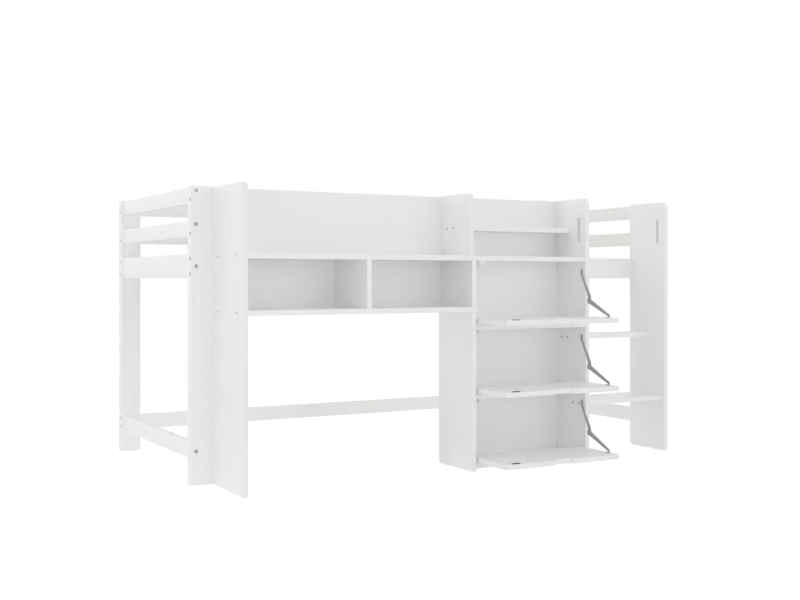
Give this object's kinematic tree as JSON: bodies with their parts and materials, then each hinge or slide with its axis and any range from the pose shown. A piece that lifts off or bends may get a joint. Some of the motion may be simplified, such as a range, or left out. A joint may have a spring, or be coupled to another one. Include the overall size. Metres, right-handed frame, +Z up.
{
  "type": "cabin bed",
  "caption": "Low cabin bed with guard rails, a desk bay with cubbies, a cabinet with drop-down flap doors and two side steps.",
  "frame": {"origin": "middle of the base of the whole part's box, on the floor, with the flaps open", "axes": "+X along the bed towards the steps, +Y from the front with the cabinet to the back, +Z up"},
  "size_m": [2.072, 1.416, 1.05],
  "materials": {
    "painted_pine": "white satin paint on solid pine",
    "lacquered_board": "smooth white lacquer on fibreboard",
    "bare_pine": "bare planed pine",
    "dark_steel": "grey satin steel",
    "plated_steel": "zinc plated",
    "white_plastic": "matte white"
  },
  "bodies": {
    "root": {"post_front_left": "painted_pine", "post_front_right": "painted_pine", "post_back_left": "painted_pine", "post_back_right": "painted_pine", "post_guard": "painted_pine", "left_top_guard": "painted_pine", "left_mid_guard": "painted_pine", "left_rail": "painted_pine", "left_stretcher": "painted_pine", "right_top_guard": "painted_pine", "right_mid_guard": "painted_pine", "right_rail": "painted_pine", "right_stretcher": "painted_pine", "back_top_guard": "painted_pine", "back_mid_guard": "painted_pine", "back_rail": "painted_pine", "back_stretcher": "painted_pine", "front_top_guard": "painted_pine", "front_mid_guard": "painted_pine", "front_rail": "painted_pine", "ledger_front": "bare_pine", "ledger_back": "bare_pine", "slats": "bare_pine", "bay_side_panel": "lacquered_board", "end_panel": "lacquered_board", "cabinet_side_panel": "lacquered_board", "lower_divider": "lacquered_board", "upper_divider": "lacquered_board", "bay_top_shelf": "lacquered_board", "bay_bottom_shelf": "lacquered_board", "bay_partition": "lacquered_board", "cubby_back_panel": "lacquered_board", "upper_back_panel": "lacquered_board", "cabinet_top": "lacquered_board", "upper_shelf": "lacquered_board", "cabinet_shelf_high": "lacquered_board", "cabinet_shelf_low": "lacquered_board", "cabinet_bottom": "lacquered_board", "cabinet_back_panel": "lacquered_board", "step_upper": "lacquered_board", "step_lower": "lacquered_board", "hinge_pins": "dark_steel", "stay_mounts": "dark_steel", "magnetic_catches": "white_plastic", "frame_bolts": "plated_steel", "barrel_nuts": "plated_steel", "panel_screws": "plated_steel", "base_screws": "plated_steel"},
    "flap_1": {"flap_1": "lacquered_board", "flap_fittings_1": "dark_steel"},
    "stay_upper_1": {"stay_upper_1": "dark_steel"},
    "stay_lower_1": {"stay_lower_1": "dark_steel"},
    "flap_2": {"flap_2": "lacquered_board", "flap_fittings_2": "dark_steel"},
    "stay_upper_2": {"stay_upper_2": "dark_steel"},
    "stay_lower_2": {"stay_lower_2": "dark_steel"},
    "flap_3": {"flap_3": "lacquered_board", "flap_fittings_3": "dark_steel"},
    "stay_upper_3": {"stay_upper_3": "dark_steel"},
    "stay_lower_3": {"stay_lower_3": "dark_steel"}
  },
  "joints": [
    {"name": "flap_1_hinge", "type": "hinge", "parent": "root", "child": "flap_1", "pos_m": [0.248, -0.48298, 0.56417], "axis": [-1, 0, 0], "range_deg": [0, 90]},
    {"name": "stay_upper_1_pivot", "type": "hinge", "parent": "root", "child": "stay_upper_1", "pos_m": [0.50555, -0.46848, 0.757], "axis": [1, 0, 0], "range_deg": [0, 122.42]},
    {"name": "stay_lower_1_pivot", "type": "hinge", "parent": "flap_1", "child": "stay_lower_1", "pos_m": [0.50305, -0.65102, 0.58017], "axis": [1, 0, 0], "range_deg": [0, 83.51]},
    {"name": "flap_2_hinge", "type": "hinge", "parent": "root", "child": "flap_2", "pos_m": [0.248, -0.48298, 0.30233], "axis": [-1, 0, 0], "range_deg": [0, 90]},
    {"name": "stay_upper_2_pivot", "type": "hinge", "parent": "root", "child": "stay_upper_2", "pos_m": [0.50555, -0.46848, 0.49517], "axis": [1, 0, 0], "range_deg": [0, 122.42]},
    {"name": "stay_lower_2_pivot", "type": "hinge", "parent": "flap_2", "child": "stay_lower_2", "pos_m": [0.50305, -0.65102, 0.31833], "axis": [1, 0, 0], "range_deg": [0, 83.51]},
    {"name": "flap_3_hinge", "type": "hinge", "parent": "root", "child": "flap_3", "pos_m": [0.248, -0.48298, 0.0405], "axis": [-1, 0, 0], "range_deg": [0, 90]},
    {"name": "stay_upper_3_pivot", "type": "hinge", "parent": "root", "child": "stay_upper_3", "pos_m": [0.50555, -0.46848, 0.23333], "axis": [1, 0, 0], "range_deg": [0, 122.42]},
    {"name": "stay_lower_3_pivot", "type": "hinge", "parent": "flap_3", "child": "stay_lower_3", "pos_m": [0.50305, -0.65102, 0.0565], "axis": [1, 0, 0], "range_deg": [0, 83.51]}
  ],
  "couplings": [
    {"joint": "stay_upper_1_pivot", "follows": "flap_1_hinge", "ratio": 1.3601},
    {"joint": "stay_lower_1_pivot", "follows": "flap_1_hinge", "ratio": 0.92783},
    {"joint": "stay_upper_2_pivot", "follows": "flap_2_hinge", "ratio": 1.3601},
    {"joint": "stay_lower_2_pivot", "follows": "flap_2_hinge", "ratio": 0.92783},
    {"joint": "stay_upper_3_pivot", "follows": "flap_3_hinge", "ratio": 1.3601},
    {"joint": "stay_lower_3_pivot", "follows": "flap_3_hinge", "ratio": 0.92783}
  ]
}
